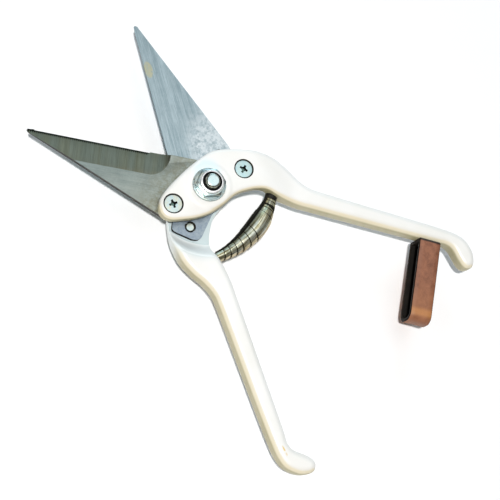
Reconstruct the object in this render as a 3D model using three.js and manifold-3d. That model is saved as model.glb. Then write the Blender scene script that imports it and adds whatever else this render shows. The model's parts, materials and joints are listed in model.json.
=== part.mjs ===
// Spring-loaded hand snips: two cranked metal handles, each the other turned over about the Y axis,
// with a straight blade screwed to the inner face of each head, a pivot bolt, a volute spring
// between the grips and a leather closing strap. Millimetres, +Z up, blades towards +Y.
// The origin is on the pivot axis, at the outer face of the bolt head.
import * as THREE from "three";
import { mergeVertices } from "three/addons/utils/BufferGeometryUtils.js";
import Module from "manifold-3d";

const wasm = await Module();
wasm.setup();

// ---------- driving dimensions ----------
const GAP = 0.3; // clearance left between pieces that touch
const BLADE_THICKNESS = 2.4;
const HEAD_THICKNESS = 4.85;
const BOSS_HEIGHT = 0.4;
const WASHER_THICKNESS = 1.3;
const BOLT_HEAD_HEIGHT = 5.3;
const NUT_HEX_HEIGHT = 3.1;
const NUT_COLLAR_HEIGHT = 1.3;
const BOLT_STICK_OUT = 1.8;

// heights above the plane in which the two blades meet
const BLADE_FACE = GAP / 2;
const BLADE_BACK = BLADE_FACE + BLADE_THICKNESS;
const HEAD_FACE = BLADE_BACK + GAP;
const HEAD_TOP = HEAD_FACE + HEAD_THICKNESS;
const BOSS_TOP = HEAD_TOP + BOSS_HEIGHT;
const WASHER_BASE = BOSS_TOP + GAP;
const WASHER_TOP = WASHER_BASE + WASHER_THICKNESS;
const NUT_BASE = WASHER_TOP + GAP;
const NUT_SHOULDER = NUT_BASE + NUT_HEX_HEIGHT;
const NUT_TOP = NUT_SHOULDER + NUT_COLLAR_HEIGHT;
const BOLT_END = NUT_TOP + BOLT_STICK_OUT;
const BLADE_PLANE = NUT_BASE + BOLT_HEAD_HEIGHT; // height of the meeting plane above the origin

// pivot hardware, M8
const BOLT_RADIUS = 4;
const RUNNING_CLEARANCE = 0.15;
const HEX_ACROSS_FLATS = 13;
const WASHER_RADIUS = 8.3;
const BOSS_RADIUS = 11.5;
const HEX_CHAMFER = 0.7;
const NUT_TURN = -0.21; // radians by which the nut stands turned from the bolt's head
const BOLT_CHAMFER = 0.8;
const NUT_COLLAR_RADIUS = 5.8;
const NUT_COLLAR_EDGE = 0.5;
const INSERT_POCKET_RADIUS = 5;
const INSERT_HEIGHT = 1;

// blade screws, M5 countersunk
const SCREW_SPOTS = { nose: [-19.1, 6.4], tail: [19.1, -7] };
const SCREW_RADIUS = 2.5;
const SCREW_HEAD_RADIUS = 4.7;
const SCREW_RIM = 0.3;
const SCREW_SUNK = 0.3; // depth of the screw head below the handle's face
const SCREW_TIP_CHAMFER = 0.4;
const CROSS_SLOT = { length: 4.6, width: 1, depth: 1.7, turn: Math.PI / 12 };

// handle: straight grip between two lines, a curled finger stop, a round-ended head
const GRIP_HALF_DEPTH = 5.2;
const GRIP_ROUNDING = 2.4;
const HEAD_ROUNDING = 1.8;
const SWING_RADIUS = 27.2; // the other half's head turns inside this radius
const SHOULDER_SLOPE = 0.5; // how far the shoulder leans back per millimetre of depth
const HEAD_END_RADIUS = 36;
const GRIP_INNER = { normal: [0.867, 0.498], offset: 3.6 };
const GRIP_OUTER = { normal: [0.88, 0.475], offset: 15.25 };

// blade: straight cutting edge, straight spine, tail under the head
const EDGE = { normal: [0.828, 0.561], offset: 13.5 };
const SPINE = { normal: [0.983, 0.184], offset: -24.5 };
const BLADE_TIP_Y = 80.2;
const EDGE_LAND = 0.35; // thickness left at the cutting edge
const GRIND = { width: 12, heelY: 23, length: 90, overrun: 2, height: 6 }; // ground face beside the edge
const TOOTH_PITCH = 0.95;
const TOOTH_DEPTH = 0.5;
const TEETH_FROM_Y = 31.6;
const TEETH_TO_Y = 77.8;

// volute spring, bowed in an arc between its two pegs
const PEG_SPOT = [20.5, -26.6];
const SPRING_SAG = 4.2;
const SPRING_BORE = 2.2;
// along the peg, measured outwards from its spot: the shank's end in the wall, the seat and the nose
const PEG = { radius: 1.6, flange: 3, shankEnd: -5, seatLow: -0.8, seatHigh: 2.2, nose: 5, tip: 0.5 };
// each turn: place along the chord, outer radius, width of the strip
const SPRING_TURNS = [
  [15.1, 3.6, 5],
  [6.6, 5.3, 13.4],
  [-0.4, 5, 6],
  [-4.6, 4.65, 6],
  [-8.2, 4.3, 6],
  [-11.6, 3.95, 6],
  [-14.2, 3.6, 4.6],
  [-16.1, 3.3, 2.6],
];

// leather strap: a closed loop standing out from the inner wall of the front grip
const STRAP_ROOT_Y = -100.3;
const STRAP = { length: 43.3, depth: 12.5, width: 11.4, leather: 1.8, root: 3, endRound: 5 };
const RIVET = { head: 2.6, dome: 1.1, shank: 1.3, reach: 4 };

const ROUND_SEGMENTS = 36;
const SMALL_SEGMENTS = 20;
const SPRING_SEGMENTS = 16;
const ARC_SEGMENTS = 6;
const CURVE_STEPS = 2; // straight steps from one point of a curved outline to the next
const EDGE_STEPS = 2; // facets across a rounded edge
const MERGE_MM = 1e-4;

// ---------- solids ----------
function solid(geometry) {
  const bare = geometry.clone();
  bare.deleteAttribute("normal");
  bare.deleteAttribute("uv");
  const merged = mergeVertices(bare, MERGE_MM);
  return new wasm.Manifold(
    new wasm.Mesh({
      numProp: 3,
      vertProperties: new Float32Array(merged.attributes.position.array),
      triVerts: new Uint32Array(merged.index.array),
    }),
  );
}

function geometryOf(manifold) {
  const mesh = manifold.getMesh();
  const geometry = new THREE.BufferGeometry();
  geometry.setAttribute("position", new THREE.BufferAttribute(mesh.vertProperties, mesh.numProp));
  geometry.setIndex(new THREE.BufferAttribute(mesh.triVerts, 1));
  geometry.computeVertexNormals();
  return geometry;
}

function named(name, geometry, material) {
  const mesh = new THREE.Mesh(geometry, material);
  mesh.name = name;
  return mesh;
}

// A solid of revolution about Z from [radius, height] pairs, listed from bottom to top on the outside.
function turned(profile, segments = ROUND_SEGMENTS) {
  const points = profile.map(([radius, height]) => new THREE.Vector2(radius, height));
  return new THREE.LatheGeometry(points, segments).rotateX(Math.PI / 2);
}

function disc(radius, low, high, segments = ROUND_SEGMENTS) {
  return turned([[0, low], [radius, low], [radius, high], [0, high]], segments);
}

function ring(inner, outer, low, high, segments = ROUND_SEGMENTS) {
  const profile = [[inner, low], [outer, low], [outer, high], [inner, high], [inner, low]];
  return turned(profile, segments);
}

// A slab of a plan outline between two heights, with its edges rounded.
function slab(outline, low, high, rounding) {
  const settings = {
    depth: high - low - 2 * rounding,
    bevelEnabled: rounding > 0,
    bevelThickness: rounding,
    bevelSize: rounding,
    bevelOffset: -rounding,
    bevelSegments: EDGE_STEPS,
    curveSegments: CURVE_STEPS,
  };
  return new THREE.ExtrudeGeometry(outline, settings).translate(0, 0, low + rounding);
}

function onLine(line, y) {
  return [(line.offset - line.normal[1] * y) / line.normal[0], y];
}

function through(pairs) {
  return pairs.map(([x, y]) => new THREE.Vector2(x, y));
}

// ---------- materials ----------
function metal(color, roughness) {
  return new THREE.MeshStandardMaterial({ color, roughness, metalness: 1 });
}

function coating(color, roughness) {
  return new THREE.MeshStandardMaterial({ color, roughness, metalness: 0 });
}

const enamel = () => coating(0xf4f1e6, 0.3);
const groundSteel = () => metal(0x8a8f7f, 0.45);
const polishedSteel = () => metal(0xa9b6bb, 0.35);
const zinc = () => metal(0xc9d6d4, 0.3);
const springSteel = () => metal(0xa39c7c, 0.3);
const nylon = () => coating(0x16181a, 0.5);
const leather = () => coating(0x9c6a4a, 0.75);
const copper = () => metal(0xb4673a, 0.45);

// ---------- handle ----------
// Plan of the whole handle: head round the pivot, crank, straight grip and curled finger stop.
function handleOutline() {
  const outline = new THREE.Shape();
  outline.moveTo(-26.9, 5.4);
  outline.splineThru(through([[-25.6, 9.3], [-20.6, 12.8], [-11, 13.5], [3, 12.7], [14.8, 10.2]]));
  outline.splineThru(through([[23.4, 3.4], [31.1, -5.1], [35.8, -14], [37, -22], [36.8, -30]]));
  outline.splineThru(through([[37.6, -36.3], onLine(GRIP_OUTER, -42)]));
  outline.lineTo(...onLine(GRIP_OUTER, -99));
  outline.splineThru(through([[74.8, -107.5], [76.6, -114.5], [74.6, -121.3], [70.6, -125.6]]));
  outline.splineThru(through([[67.2, -126.6], [64.8, -124.6], [64.5, -121.2]]));
  outline.splineThru(through([[65.7, -117.2], [67.3, -112.5], [66.7, -108.4], onLine(GRIP_INNER, -103)]));
  outline.lineTo(...onLine(GRIP_INNER, -40));
  outline.splineThru(through([[24, -33], [22.1, -27.7], [20.4, -22.5], [16.9, -18.4], [12.2, -15.1]]));
  outline.splineThru(through([[6.4, -12.5], [-1, -11.7], [-9.3, -9.6]]));
  outline.splineThru(through([[-16.2, -6], [-21.7, -1.7], [-25.7, 2.1], [-26.9, 5.4]]));
  return outline;
}

// Room for the other half's head: a shallow cone about the pivot, and all that lies under the round end.
function swingRecess() {
  const depth = HEAD_FACE + GRIP_HALF_DEPTH + 1;
  const low = HEAD_FACE - depth;
  const mouth = SWING_RADIUS + SHOULDER_SLOPE * depth;
  const cone = turned([[0, low], [mouth, low], [SWING_RADIUS, HEAD_FACE], [0, HEAD_FACE]]);
  const roundEnd = new THREE.BoxGeometry(mouth, 2 * mouth, depth);
  return solid(cone).add(solid(roundEnd.translate(-mouth / 2, 0, HEAD_FACE - depth / 2)));
}

// Region kept for the head plate: a cone that fades its top face into the grip.
function headRegion() {
  const fade = HEAD_TOP - GRIP_HALF_DEPTH;
  const foot = HEAD_END_RADIUS + 2 * fade;
  const profile = [[0, HEAD_FACE], [foot, HEAD_FACE], [foot, GRIP_HALF_DEPTH]];
  profile.push([HEAD_END_RADIUS, HEAD_TOP + 1], [0, HEAD_TOP + 1]);
  return turned(profile);
}

function countersink([x, y]) {
  const rim = SCREW_HEAD_RADIUS + GAP;
  const hole = SCREW_RADIUS + GAP;
  const coneTop = HEAD_TOP - SCREW_SUNK - SCREW_RIM;
  const coneFoot = coneTop - (rim - hole);
  const profile = [[0, 0], [hole, 0], [hole, coneFoot], [rim, coneTop]];
  profile.push([rim, HEAD_TOP + 1], [0, HEAD_TOP + 1]);
  return turned(profile).translate(x, y, 0);
}

function pivotHole() {
  return disc(BOLT_RADIUS + RUNNING_CLEARANCE, -1, BOSS_TOP + 1);
}

function handle() {
  const outline = handleOutline();
  const grip = solid(slab(outline, -GRIP_HALF_DEPTH, GRIP_HALF_DEPTH, GRIP_ROUNDING));
  const plate = solid(slab(outline, -HEAD_TOP, HEAD_TOP, HEAD_ROUNDING));
  let body = grip.subtract(swingRecess()).add(plate.intersect(solid(headRegion())));
  body = body.add(solid(disc(BOSS_RADIUS, HEAD_FACE + 1, BOSS_TOP)));
  body = body.subtract(solid(pivotHole()));
  for (const spot of Object.values(SCREW_SPOTS)) {
    body = body.subtract(solid(countersink(spot)));
  }
  const pegHole = disc(PEG.radius + GAP, PEG.shankEnd - GAP, PEG.nose, SMALL_SEGMENTS);
  return body.subtract(solid(pegPlaced(pegHole)));
}

// The front handle also takes the strap's rivet.
function frontHandle() {
  const drilling = disc(RIVET.shank + GAP, -RIVET.reach - GAP, RIVET.reach, SMALL_SEGMENTS);
  return geometryOf(handle().subtract(solid(strapPlaced(drilling))));
}

function rearHandle() {
  return geometryOf(handle());
}

// ---------- blades ----------
function bladeOutline(serrated) {
  const outline = new THREE.Shape();
  outline.moveTo(...onLine(SPINE, 6));
  outline.lineTo(...onLine(SPINE, BLADE_TIP_Y - 1.2));
  outline.lineTo(-39.2, BLADE_TIP_Y);
  outline.lineTo(-38.4, BLADE_TIP_Y);
  outline.lineTo(...onLine(EDGE, TEETH_TO_Y));
  if (serrated) {
    addTeeth(outline);
  }
  outline.lineTo(...onLine(EDGE, 12));
  outline.splineThru(through([[12.6, 8.6], [19.5, 3.2], [25, -0.4]]));
  outline.splineThru(through([[26.3, -2], [25.9, -4.2], [23.2, -11.6], [19.2, -14.3], [15.4, -13.3]]));
  outline.lineTo(6.7, -10.7);
  outline.splineThru(through([[-4, -9.3], [-14, -5], [-22.3, 1], [-25, 3.6], onLine(SPINE, 6)]));
  return outline;
}

// A saw-tooth run along the cutting edge, from the tip back towards the heel.
function addTeeth(outline) {
  const along = Math.hypot(...EDGE.normal);
  const stepY = (TOOTH_PITCH * EDGE.normal[0]) / along;
  const count = Math.floor((TEETH_TO_Y - TEETH_FROM_Y) / stepY);
  const root = { normal: EDGE.normal, offset: EDGE.offset - TOOTH_DEPTH };
  for (let tooth = 0; tooth < count; tooth++) {
    const y = TEETH_TO_Y - tooth * stepY;
    outline.lineTo(...onLine(root, y - stepY * 0.5));
    outline.lineTo(...onLine(EDGE, y - stepY));
  }
}

// The hollow left by grinding the outer side of the edge: a slab tilted up from the cutting edge,
// with a round run-out at the heel.
function grinding() {
  const tilt = Math.atan2(BLADE_THICKNESS - EDGE_LAND, GRIND.width);
  const [heelX, heelY] = onLine(EDGE, GRIND.heelY);
  const back = GRIND.width + 1;
  const area = new THREE.Shape();
  area.moveTo(0, -GRIND.overrun);
  area.lineTo(GRIND.length, -GRIND.overrun);
  area.lineTo(GRIND.length, back);
  area.lineTo(GRIND.width, back);
  area.absellipse(GRIND.width, 0, GRIND.width, back, Math.PI / 2, Math.PI, false);
  area.closePath();
  const settings = { depth: GRIND.height, bevelEnabled: false, curveSegments: ARC_SEGMENTS };
  const cutter = new THREE.ExtrudeGeometry(area, settings);
  cutter.rotateX(tilt);
  cutter.rotateZ(Math.atan2(EDGE.normal[0], -EDGE.normal[1]));
  return cutter.translate(heelX, heelY, BLADE_FACE + EDGE_LAND);
}

function blade(serrated) {
  const plate = new THREE.ExtrudeGeometry(bladeOutline(serrated), {
    depth: BLADE_THICKNESS,
    bevelEnabled: false,
    curveSegments: CURVE_STEPS,
  });
  let body = solid(plate.translate(0, 0, BLADE_FACE)).subtract(solid(grinding()));
  body = body.subtract(solid(pivotHole()));
  for (const [x, y] of Object.values(SCREW_SPOTS)) {
    const hole = disc(SCREW_RADIUS + GAP, -1, HEAD_FACE, SMALL_SEGMENTS).translate(x, y, 0);
    body = body.subtract(solid(hole));
  }
  return geometryOf(body);
}

function bladeScrew() {
  const headTop = HEAD_TOP - SCREW_SUNK;
  const coneTop = headTop - SCREW_RIM;
  const coneFoot = coneTop - (SCREW_HEAD_RADIUS - SCREW_RADIUS);
  const tip = BLADE_FACE + GAP;
  const profile = [[0, tip], [SCREW_RADIUS - SCREW_TIP_CHAMFER, tip]];
  profile.push([SCREW_RADIUS, tip + SCREW_TIP_CHAMFER], [SCREW_RADIUS, coneFoot]);
  profile.push([SCREW_HEAD_RADIUS, coneTop]);
  profile.push([SCREW_HEAD_RADIUS, headTop], [0, headTop]);
  let body = solid(turned(profile, SMALL_SEGMENTS));
  for (const turn of [0, Math.PI / 2]) {
    const slot = new THREE.BoxGeometry(CROSS_SLOT.length, CROSS_SLOT.width, 2 * CROSS_SLOT.depth);
    body = body.subtract(solid(slot.rotateZ(turn + CROSS_SLOT.turn).translate(0, 0, headTop)));
  }
  return geometryOf(body);
}

// ---------- pivot ----------
function hexagon(low, high, turn = 0) {
  const prism = new THREE.CylinderGeometry(
    HEX_ACROSS_FLATS / Math.sqrt(3),
    HEX_ACROSS_FLATS / Math.sqrt(3),
    high - low,
    6,
  );
  return prism.rotateX(Math.PI / 2).rotateZ(turn).translate(0, 0, (low + high) / 2);
}

// Round body that takes the corners off a hexagon at the end that faces away from the washer.
function cornerRounding(low, high, chamferAt) {
  const corner = HEX_ACROSS_FLATS / Math.sqrt(3) + 0.1;
  const flat = HEX_ACROSS_FLATS / 2 - 0.1;
  if (chamferAt === "top") {
    return turned([[0, low], [corner, low], [corner, high - HEX_CHAMFER], [flat, high], [0, high]]);
  }
  return turned([[0, low], [flat, low], [corner, low + HEX_CHAMFER], [corner, high], [0, high]]);
}

function pivotBolt() {
  const headLow = -NUT_BASE - BOLT_HEAD_HEIGHT;
  const head = solid(hexagon(headLow, -NUT_BASE));
  const shank = [[0, headLow + 1], [BOLT_RADIUS, headLow + 1], [BOLT_RADIUS, BOLT_END - BOLT_CHAMFER]];
  shank.push([BOLT_RADIUS - BOLT_CHAMFER, BOLT_END - BOLT_CHAMFER / 4], [0, BOLT_END]);
  const rounded = head.intersect(solid(cornerRounding(headLow, -NUT_BASE, "bottom")));
  return geometryOf(rounded.add(solid(turned(shank))));
}

function pivotWasher(low) {
  return ring(BOLT_RADIUS + GAP, WASHER_RADIUS, low, low + WASHER_THICKNESS);
}

function lockNut() {
  const hex = solid(hexagon(NUT_BASE, NUT_SHOULDER, NUT_TURN));
  const rounded = hex.intersect(solid(cornerRounding(NUT_BASE, NUT_SHOULDER, "top")));
  const collar = [[0, NUT_BASE + 1], [NUT_COLLAR_RADIUS, NUT_BASE + 1]];
  collar.push([NUT_COLLAR_RADIUS, NUT_TOP - NUT_COLLAR_EDGE]);
  collar.push([NUT_COLLAR_RADIUS - NUT_COLLAR_EDGE, NUT_TOP], [0, NUT_TOP]);
  const bore = disc(BOLT_RADIUS + GAP, NUT_BASE - 1, NUT_TOP + 1);
  const pocket = disc(INSERT_POCKET_RADIUS, NUT_TOP - INSERT_HEIGHT - 2 * GAP, NUT_TOP + 1);
  return geometryOf(rounded.add(solid(turned(collar))).subtract(solid(bore)).subtract(solid(pocket)));
}

function lockNutInsert() {
  const low = NUT_TOP - INSERT_HEIGHT - GAP;
  return ring(BOLT_RADIUS + GAP, INSERT_POCKET_RADIUS - GAP, low, low + INSERT_HEIGHT);
}

// ---------- spring ----------
const ARC_RADIUS = (PEG_SPOT[0] ** 2 + SPRING_SAG ** 2) / (2 * SPRING_SAG);
const ARC_CENTRE_Y = PEG_SPOT[1] - SPRING_SAG + ARC_RADIUS;

// Direction of the spring's arc where it leaves the front peg.
function pegDirection() {
  return Math.PI + Math.asin(PEG_SPOT[0] / ARC_RADIUS);
}

// Turns a piece made about Z, pointing out of the wall, onto the front handle's peg spot.
function pegPlaced(geometry) {
  geometry.rotateY(Math.PI / 2);
  geometry.rotateZ(pegDirection());
  return geometry.translate(PEG_SPOT[0], PEG_SPOT[1], 0);
}

// A peg pressed into the grip's inner wall, with a flange that the spring's end rests on.
function springPeg() {
  const profile = [[0, PEG.shankEnd], [PEG.radius, PEG.shankEnd], [PEG.radius, PEG.seatLow]];
  profile.push([PEG.flange, PEG.seatLow], [PEG.flange, PEG.seatHigh], [PEG.radius, PEG.seatHigh]);
  profile.push([PEG.radius, PEG.nose - PEG.tip]);
  profile.push([PEG.radius - PEG.tip, PEG.nose], [0, PEG.nose]);
  return pegPlaced(turned(profile, SMALL_SEGMENTS));
}

// The coiled strip as a stepped, hollow spindle that follows the arc between the pegs.
function voluteSpring() {
  let body = null;
  for (const [x, outer, width] of SPRING_TURNS) {
    const lean = Math.asin(x / ARC_RADIUS);
    const band = ring(SPRING_BORE, outer, -width / 2, width / 2, SPRING_SEGMENTS);
    band.rotateY(Math.PI / 2).rotateZ(lean);
    band.translate(x, ARC_CENTRE_Y - ARC_RADIUS * Math.cos(lean), 0);
    body = body ? body.add(solid(band)) : solid(band);
  }
  return geometryOf(body);
}

// ---------- strap ----------
// Turns a piece made about Z, pointing out of the wall, onto the strap's root on the front grip.
function strapPlaced(geometry) {
  const [rootX, rootY] = onLine(GRIP_INNER, STRAP_ROOT_Y);
  geometry.rotateY(Math.PI / 2);
  geometry.rotateZ(Math.atan2(-GRIP_INNER.normal[1], -GRIP_INNER.normal[0]));
  return geometry.translate(rootX, rootY, 0);
}

// Side view of the loop, from the wall outwards: square at the root, round at the free end.
function strapLoop() {
  const half = STRAP.depth / 2;
  const inner = half - STRAP.leather;
  const endRound = STRAP.endRound;
  const endInner = endRound - STRAP.leather;
  const far = GAP + STRAP.length;
  const loop = new THREE.Shape();
  loop.moveTo(GAP, -half);
  loop.lineTo(far - endRound, -half);
  loop.absarc(far - endRound, -half + endRound, endRound, -Math.PI / 2, 0, false);
  loop.absarc(far - endRound, half - endRound, endRound, 0, Math.PI / 2, false);
  loop.lineTo(GAP, half);
  loop.closePath();
  const hollow = new THREE.Path();
  hollow.moveTo(GAP + STRAP.root, -inner);
  hollow.lineTo(far - endRound, -inner);
  hollow.absarc(far - endRound, -inner + endInner, endInner, -Math.PI / 2, 0, false);
  hollow.absarc(far - endRound, inner - endInner, endInner, 0, Math.PI / 2, false);
  hollow.lineTo(GAP + STRAP.root, inner);
  hollow.closePath();
  loop.holes.push(hollow);
  return loop;
}

function leatherStrap() {
  const band = new THREE.ExtrudeGeometry(strapLoop(), {
    depth: STRAP.width,
    bevelEnabled: false,
    curveSegments: ARC_SEGMENTS,
  });
  band.translate(0, 0, -STRAP.width / 2);
  // the side view lies in the plane of the outward direction and Z, extruded along the grip
  band.rotateX(Math.PI / 2);
  const [rootX, rootY] = onLine(GRIP_INNER, STRAP_ROOT_Y);
  band.rotateZ(Math.atan2(-GRIP_INNER.normal[1], -GRIP_INNER.normal[0]));
  band.translate(rootX, rootY, 0);
  const hole = disc(RIVET.shank + GAP, -1, GAP + STRAP.root + 1, SMALL_SEGMENTS);
  return geometryOf(solid(band).subtract(solid(strapPlaced(hole))));
}

function strapRivet() {
  const seat = GAP + STRAP.root + GAP;
  const profile = [[0, -RIVET.reach], [RIVET.shank, -RIVET.reach], [RIVET.shank, seat], [RIVET.head, seat]];
  profile.push([RIVET.head * 0.8, seat + RIVET.dome * 0.7], [0, seat + RIVET.dome]);
  return strapPlaced(turned(profile, SMALL_SEGMENTS));
}

// ---------- assembly ----------
// One handle with its blade, screws and spring peg, lying above the plane in which the blades meet.
function half(side, handleGeometry, bladeName, bladeGeometry, bladeMaterial) {
  const group = new THREE.Group();
  group.add(named(`${side}_handle`, handleGeometry, enamel()));
  group.add(named(bladeName, bladeGeometry, bladeMaterial));
  for (const [place, [x, y]] of Object.entries(SCREW_SPOTS)) {
    const screw = named(`${side}_${place}_screw`, bladeScrew(), zinc());
    screw.position.set(x, y, 0);
    group.add(screw);
  }
  group.add(named(`${side}_spring_peg`, springPeg(), zinc()));
  return group;
}

function pivotSet() {
  const group = new THREE.Group();
  group.add(named("pivot_bolt", pivotBolt(), zinc()));
  group.add(named("front_pivot_washer", pivotWasher(WASHER_BASE), zinc()));
  group.add(named("rear_pivot_washer", pivotWasher(-WASHER_TOP), zinc()));
  group.add(named("lock_nut", lockNut(), zinc()));
  group.add(named("lock_nut_insert", lockNutInsert(), nylon()));
  return group;
}

const front = half("front", frontHandle(), "serrated_blade", blade(true), groundSteel());
const rear = half("rear", rearHandle(), "plain_blade", blade(false), polishedSteel());
rear.rotation.y = Math.PI;

const snips = new THREE.Group();
snips.add(front);
snips.add(rear);
snips.add(pivotSet());
snips.add(named("volute_spring", voluteSpring(), springSteel()));
snips.add(named("leather_strap", leatherStrap(), leather()));
snips.add(named("strap_rivet", strapRivet(), copper()));
snips.position.z = BLADE_PLANE;

const part = new THREE.Group();
part.add(snips);

export default part;
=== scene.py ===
"""Hand snips with enamelled handles, a toothed and a plain blade, a volute spring and a leather strap.

Lengths in the shapes are in millimetres from the pivot axis and from the plane in which the two blades
meet; put() turns them into metres in the frame. The rear half is the front half turned over about Y.
"""
import json
import math
import bmesh
import bpy
import numpy as np
from mathutils import Matrix, Vector


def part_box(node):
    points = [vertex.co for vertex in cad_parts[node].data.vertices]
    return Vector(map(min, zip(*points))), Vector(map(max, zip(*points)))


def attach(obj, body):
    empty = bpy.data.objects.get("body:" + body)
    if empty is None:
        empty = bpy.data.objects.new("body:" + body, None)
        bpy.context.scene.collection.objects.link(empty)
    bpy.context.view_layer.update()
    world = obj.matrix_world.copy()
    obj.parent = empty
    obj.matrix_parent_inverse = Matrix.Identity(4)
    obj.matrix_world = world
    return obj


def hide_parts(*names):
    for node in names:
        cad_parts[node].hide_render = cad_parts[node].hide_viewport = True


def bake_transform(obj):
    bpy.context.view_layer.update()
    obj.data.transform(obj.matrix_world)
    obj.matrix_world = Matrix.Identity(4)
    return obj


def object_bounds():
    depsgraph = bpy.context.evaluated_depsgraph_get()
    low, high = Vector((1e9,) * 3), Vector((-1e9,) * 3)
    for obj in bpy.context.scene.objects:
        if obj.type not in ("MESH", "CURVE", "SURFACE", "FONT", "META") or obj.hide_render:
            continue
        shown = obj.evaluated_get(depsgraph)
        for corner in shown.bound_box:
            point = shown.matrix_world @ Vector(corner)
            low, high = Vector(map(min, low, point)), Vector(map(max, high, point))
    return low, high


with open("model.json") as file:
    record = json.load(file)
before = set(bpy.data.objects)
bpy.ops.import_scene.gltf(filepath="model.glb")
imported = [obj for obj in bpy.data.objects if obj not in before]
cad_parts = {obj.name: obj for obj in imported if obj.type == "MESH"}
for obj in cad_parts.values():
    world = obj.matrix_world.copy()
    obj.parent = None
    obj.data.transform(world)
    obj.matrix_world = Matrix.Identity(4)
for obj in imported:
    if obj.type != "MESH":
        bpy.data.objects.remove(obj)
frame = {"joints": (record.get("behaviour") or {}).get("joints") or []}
CAD_BOX = [[float(v) for v in corner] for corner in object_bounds()]

MM = 0.001
JOINTS = {joint["name"]: joint for joint in frame["joints"]}
PIVOT = Vector(JOINTS["pivot"]["pos_m"])
SCENE = bpy.context.scene


# ---------- heights and sizes read from the frame ----------
def low_of(node):
    return (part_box(node)[0] - PIVOT) / MM


def high_of(node):
    return (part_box(node)[1] - PIVOT) / MM


BLADE_FACE = low_of("serrated_blade").z
BLADE_BACK = high_of("serrated_blade").z
BOSS_TOP = high_of("front_handle").z
WASHER_LOW = low_of("front_pivot_washer").z
WASHER_TOP = high_of("front_pivot_washer").z
WASHER_RADIUS = high_of("front_pivot_washer").x
NUT_LOW = low_of("lock_nut").z
NUT_TOP = high_of("lock_nut").z
HEX_FLATS = 2 * high_of("pivot_bolt").x
BOLT_END = high_of("pivot_bolt").z
BOLT_HEAD_LOW = low_of("pivot_bolt").z
SCREW_SUNK = 0.2
SCREW_TOP = high_of("front_nose_screw").z - SCREW_SUNK
SCREW_TIP = low_of("front_nose_screw").z
SCREW_RIM_RADIUS = (high_of("front_nose_screw").x - low_of("front_nose_screw").x) / 2
SCREW_HEAD_RADIUS = SCREW_RIM_RADIUS - 0.35
SCREW_RIM_HEIGHT = 0.35
GRIP_HALF_DEPTH = -low_of("front_handle").z


def middle_of(node):
    middle = (low_of(node) + high_of(node)) / 2
    return middle.x, middle.y


NOSE_SCREW = middle_of("front_nose_screw")
TAIL_SCREW = middle_of("front_tail_screw")

HEAD_GAP = 0.12
HEAD_FACE = BLADE_BACK + HEAD_GAP
BOSS_HEIGHT = 0.4
HEAD_TOP = BOSS_TOP - BOSS_HEIGHT
BOLT_RADIUS = 4.0
SCREW_RADIUS = 2.5
HOLE_GAP = 0.15
BLADE_HOLE_GAP = 0.3
SINK_GAP = 0.25


# ---------- mesh helpers ----------
def put(points, turned_over=False):
    """Millimetres about the pivot to metres in the frame; turned_over gives the rear half's place."""
    points = np.array(points, float).reshape(-1, 3)
    if turned_over:
        points = points * np.array([-1.0, 1.0, -1.0])
    return points * MM + np.array(PIVOT)


def spot_of(point, turned_over=False):
    return tuple(put([point], turned_over)[0])


def new_piece(name, shape, turned_over=False, *materials):
    points, faces = shape
    mesh = bpy.data.meshes.new(name)
    mesh.from_pydata(put(points, turned_over).tolist(), [], faces)
    mesh.validate()
    for material in materials:
        mesh.materials.append(material)
    piece = bpy.data.objects.new(name, mesh)
    SCENE.collection.objects.link(piece)
    face_outwards(piece)
    return piece


def face_outwards(piece):
    grown = bmesh.new()
    grown.from_mesh(piece.data)
    bmesh.ops.remove_doubles(grown, verts=grown.verts, dist=1e-7)
    bmesh.ops.recalc_face_normals(grown, faces=grown.faces)
    grown.to_mesh(piece.data)
    grown.free()


def smooth(piece, sharp_degrees):
    piece.data.polygons.foreach_set("use_smooth", [True] * len(piece.data.polygons))
    piece.data.set_sharp_from_angle(angle=math.radians(sharp_degrees))


def finished(piece, node, body, sharp=30):
    """Shades the piece, hides the part it stands for and fixes it to its body."""
    smooth(piece, sharp)
    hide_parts(node)
    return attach(piece, body)


def grid_faces(rows, columns, closed_rows=False, closed_columns=False):
    """Quads of a rows x columns grid of points, row by row."""
    faces = []
    for row in range(rows if closed_rows else rows - 1):
        here, below = row * columns, (row + 1) % rows * columns
        for column in range(columns if closed_columns else columns - 1):
            beside = (column + 1) % columns
            faces.append((here + column, here + beside, below + beside, below + column))
    return faces


def between_sheets(upper, lower, rows, columns):
    """A closed body between two grids of points, with a wall round their rim."""
    count = rows * columns
    faces = grid_faces(rows, columns)
    faces += [tuple(count + index for index in reversed(face)) for face in faces]
    rim = [row * columns for row in range(rows)]
    rim += [(rows - 1) * columns + column for column in range(1, columns)]
    rim += [row * columns + columns - 1 for row in range(rows - 2, -1, -1)]
    rim += list(range(columns - 2, 0, -1))
    for index, corner in enumerate(rim):
        beside = rim[(index + 1) % len(rim)]
        faces.append((corner, beside, count + beside, count + corner))
    return np.concatenate([upper, lower]), faces


def lathe_mesh(profile, steps=64, centre=(0, 0)):
    """Points and faces turned about Z from (radius, height) pairs that start and end on the axis."""
    ring = profile[1:-1]
    turns = [2 * math.pi * step / steps for step in range(steps)]
    x, y = centre
    points = [(x, y, profile[0][1])]
    for radius, height in ring:
        points += [(x + radius * math.cos(turn), y + radius * math.sin(turn), height) for turn in turns]
    points.append((x, y, profile[-1][1]))
    quads = grid_faces(len(ring), steps, closed_columns=True)
    faces = [tuple(1 + index for index in face) for face in quads]
    last = len(points) - 1
    for step in range(steps):
        beside = (step + 1) % steps
        faces.append((0, 1 + step, 1 + beside))
        faces.append((last, last - steps + beside, last - steps + step))
    return points, faces


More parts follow.
